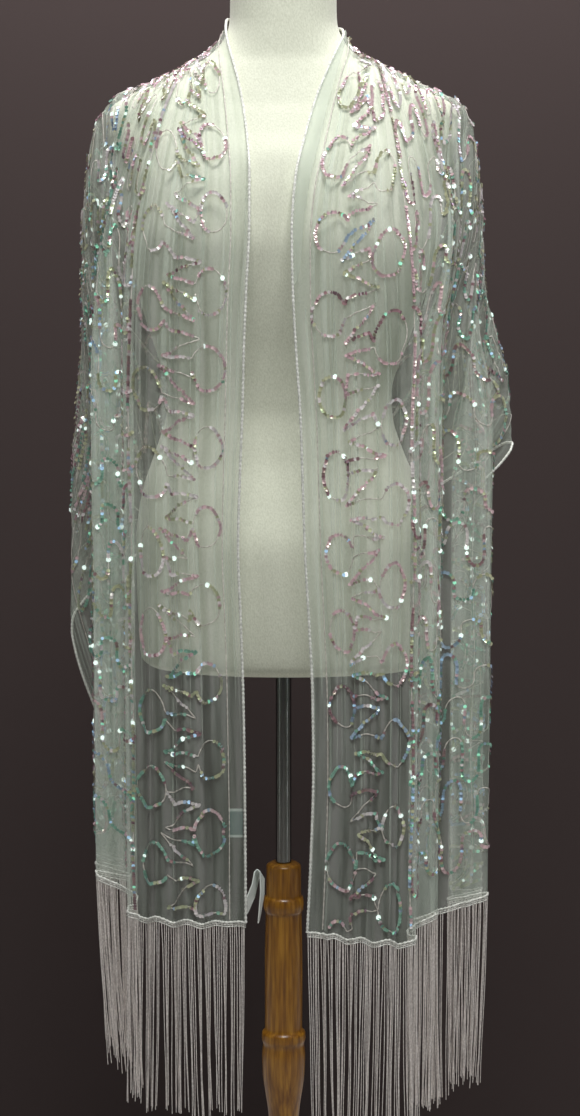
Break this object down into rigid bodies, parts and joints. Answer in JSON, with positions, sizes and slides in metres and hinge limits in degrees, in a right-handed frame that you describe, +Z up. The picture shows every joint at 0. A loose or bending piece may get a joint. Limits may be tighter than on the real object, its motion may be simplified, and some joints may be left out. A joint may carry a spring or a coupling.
{
  "type": "evening stole on a dress form",
  "caption": "Sheer fringed net stole, draped over the shoulders of a limbless jersey dress form on a turned wooden stand.",
  "frame": {"origin": "centre of the underside of the stand's round base", "axes": "+Z up, the form faces -Y, and +X is to the right as seen from the front"},
  "size_m": [0.4459, 0.336, 1.43],
  "materials": {
    "net": "sheer net",
    "fringe": "silky strands",
    "label": "matte",
    "jersey": "matte jersey",
    "chrome": "polished",
    "wood": "satin varnish"
  },
  "bodies": {
    "root": {"stole_left": "net", "stole_back": "net", "stole_right": "net", "fringe_left": "fringe", "fringe_right": "fringe", "care_label": "label", "woven_label": "label", "dress_form": "jersey", "stand_pole": "chrome", "stand_post": "wood", "stand_base": "wood"}
  },
  "joints": []
}
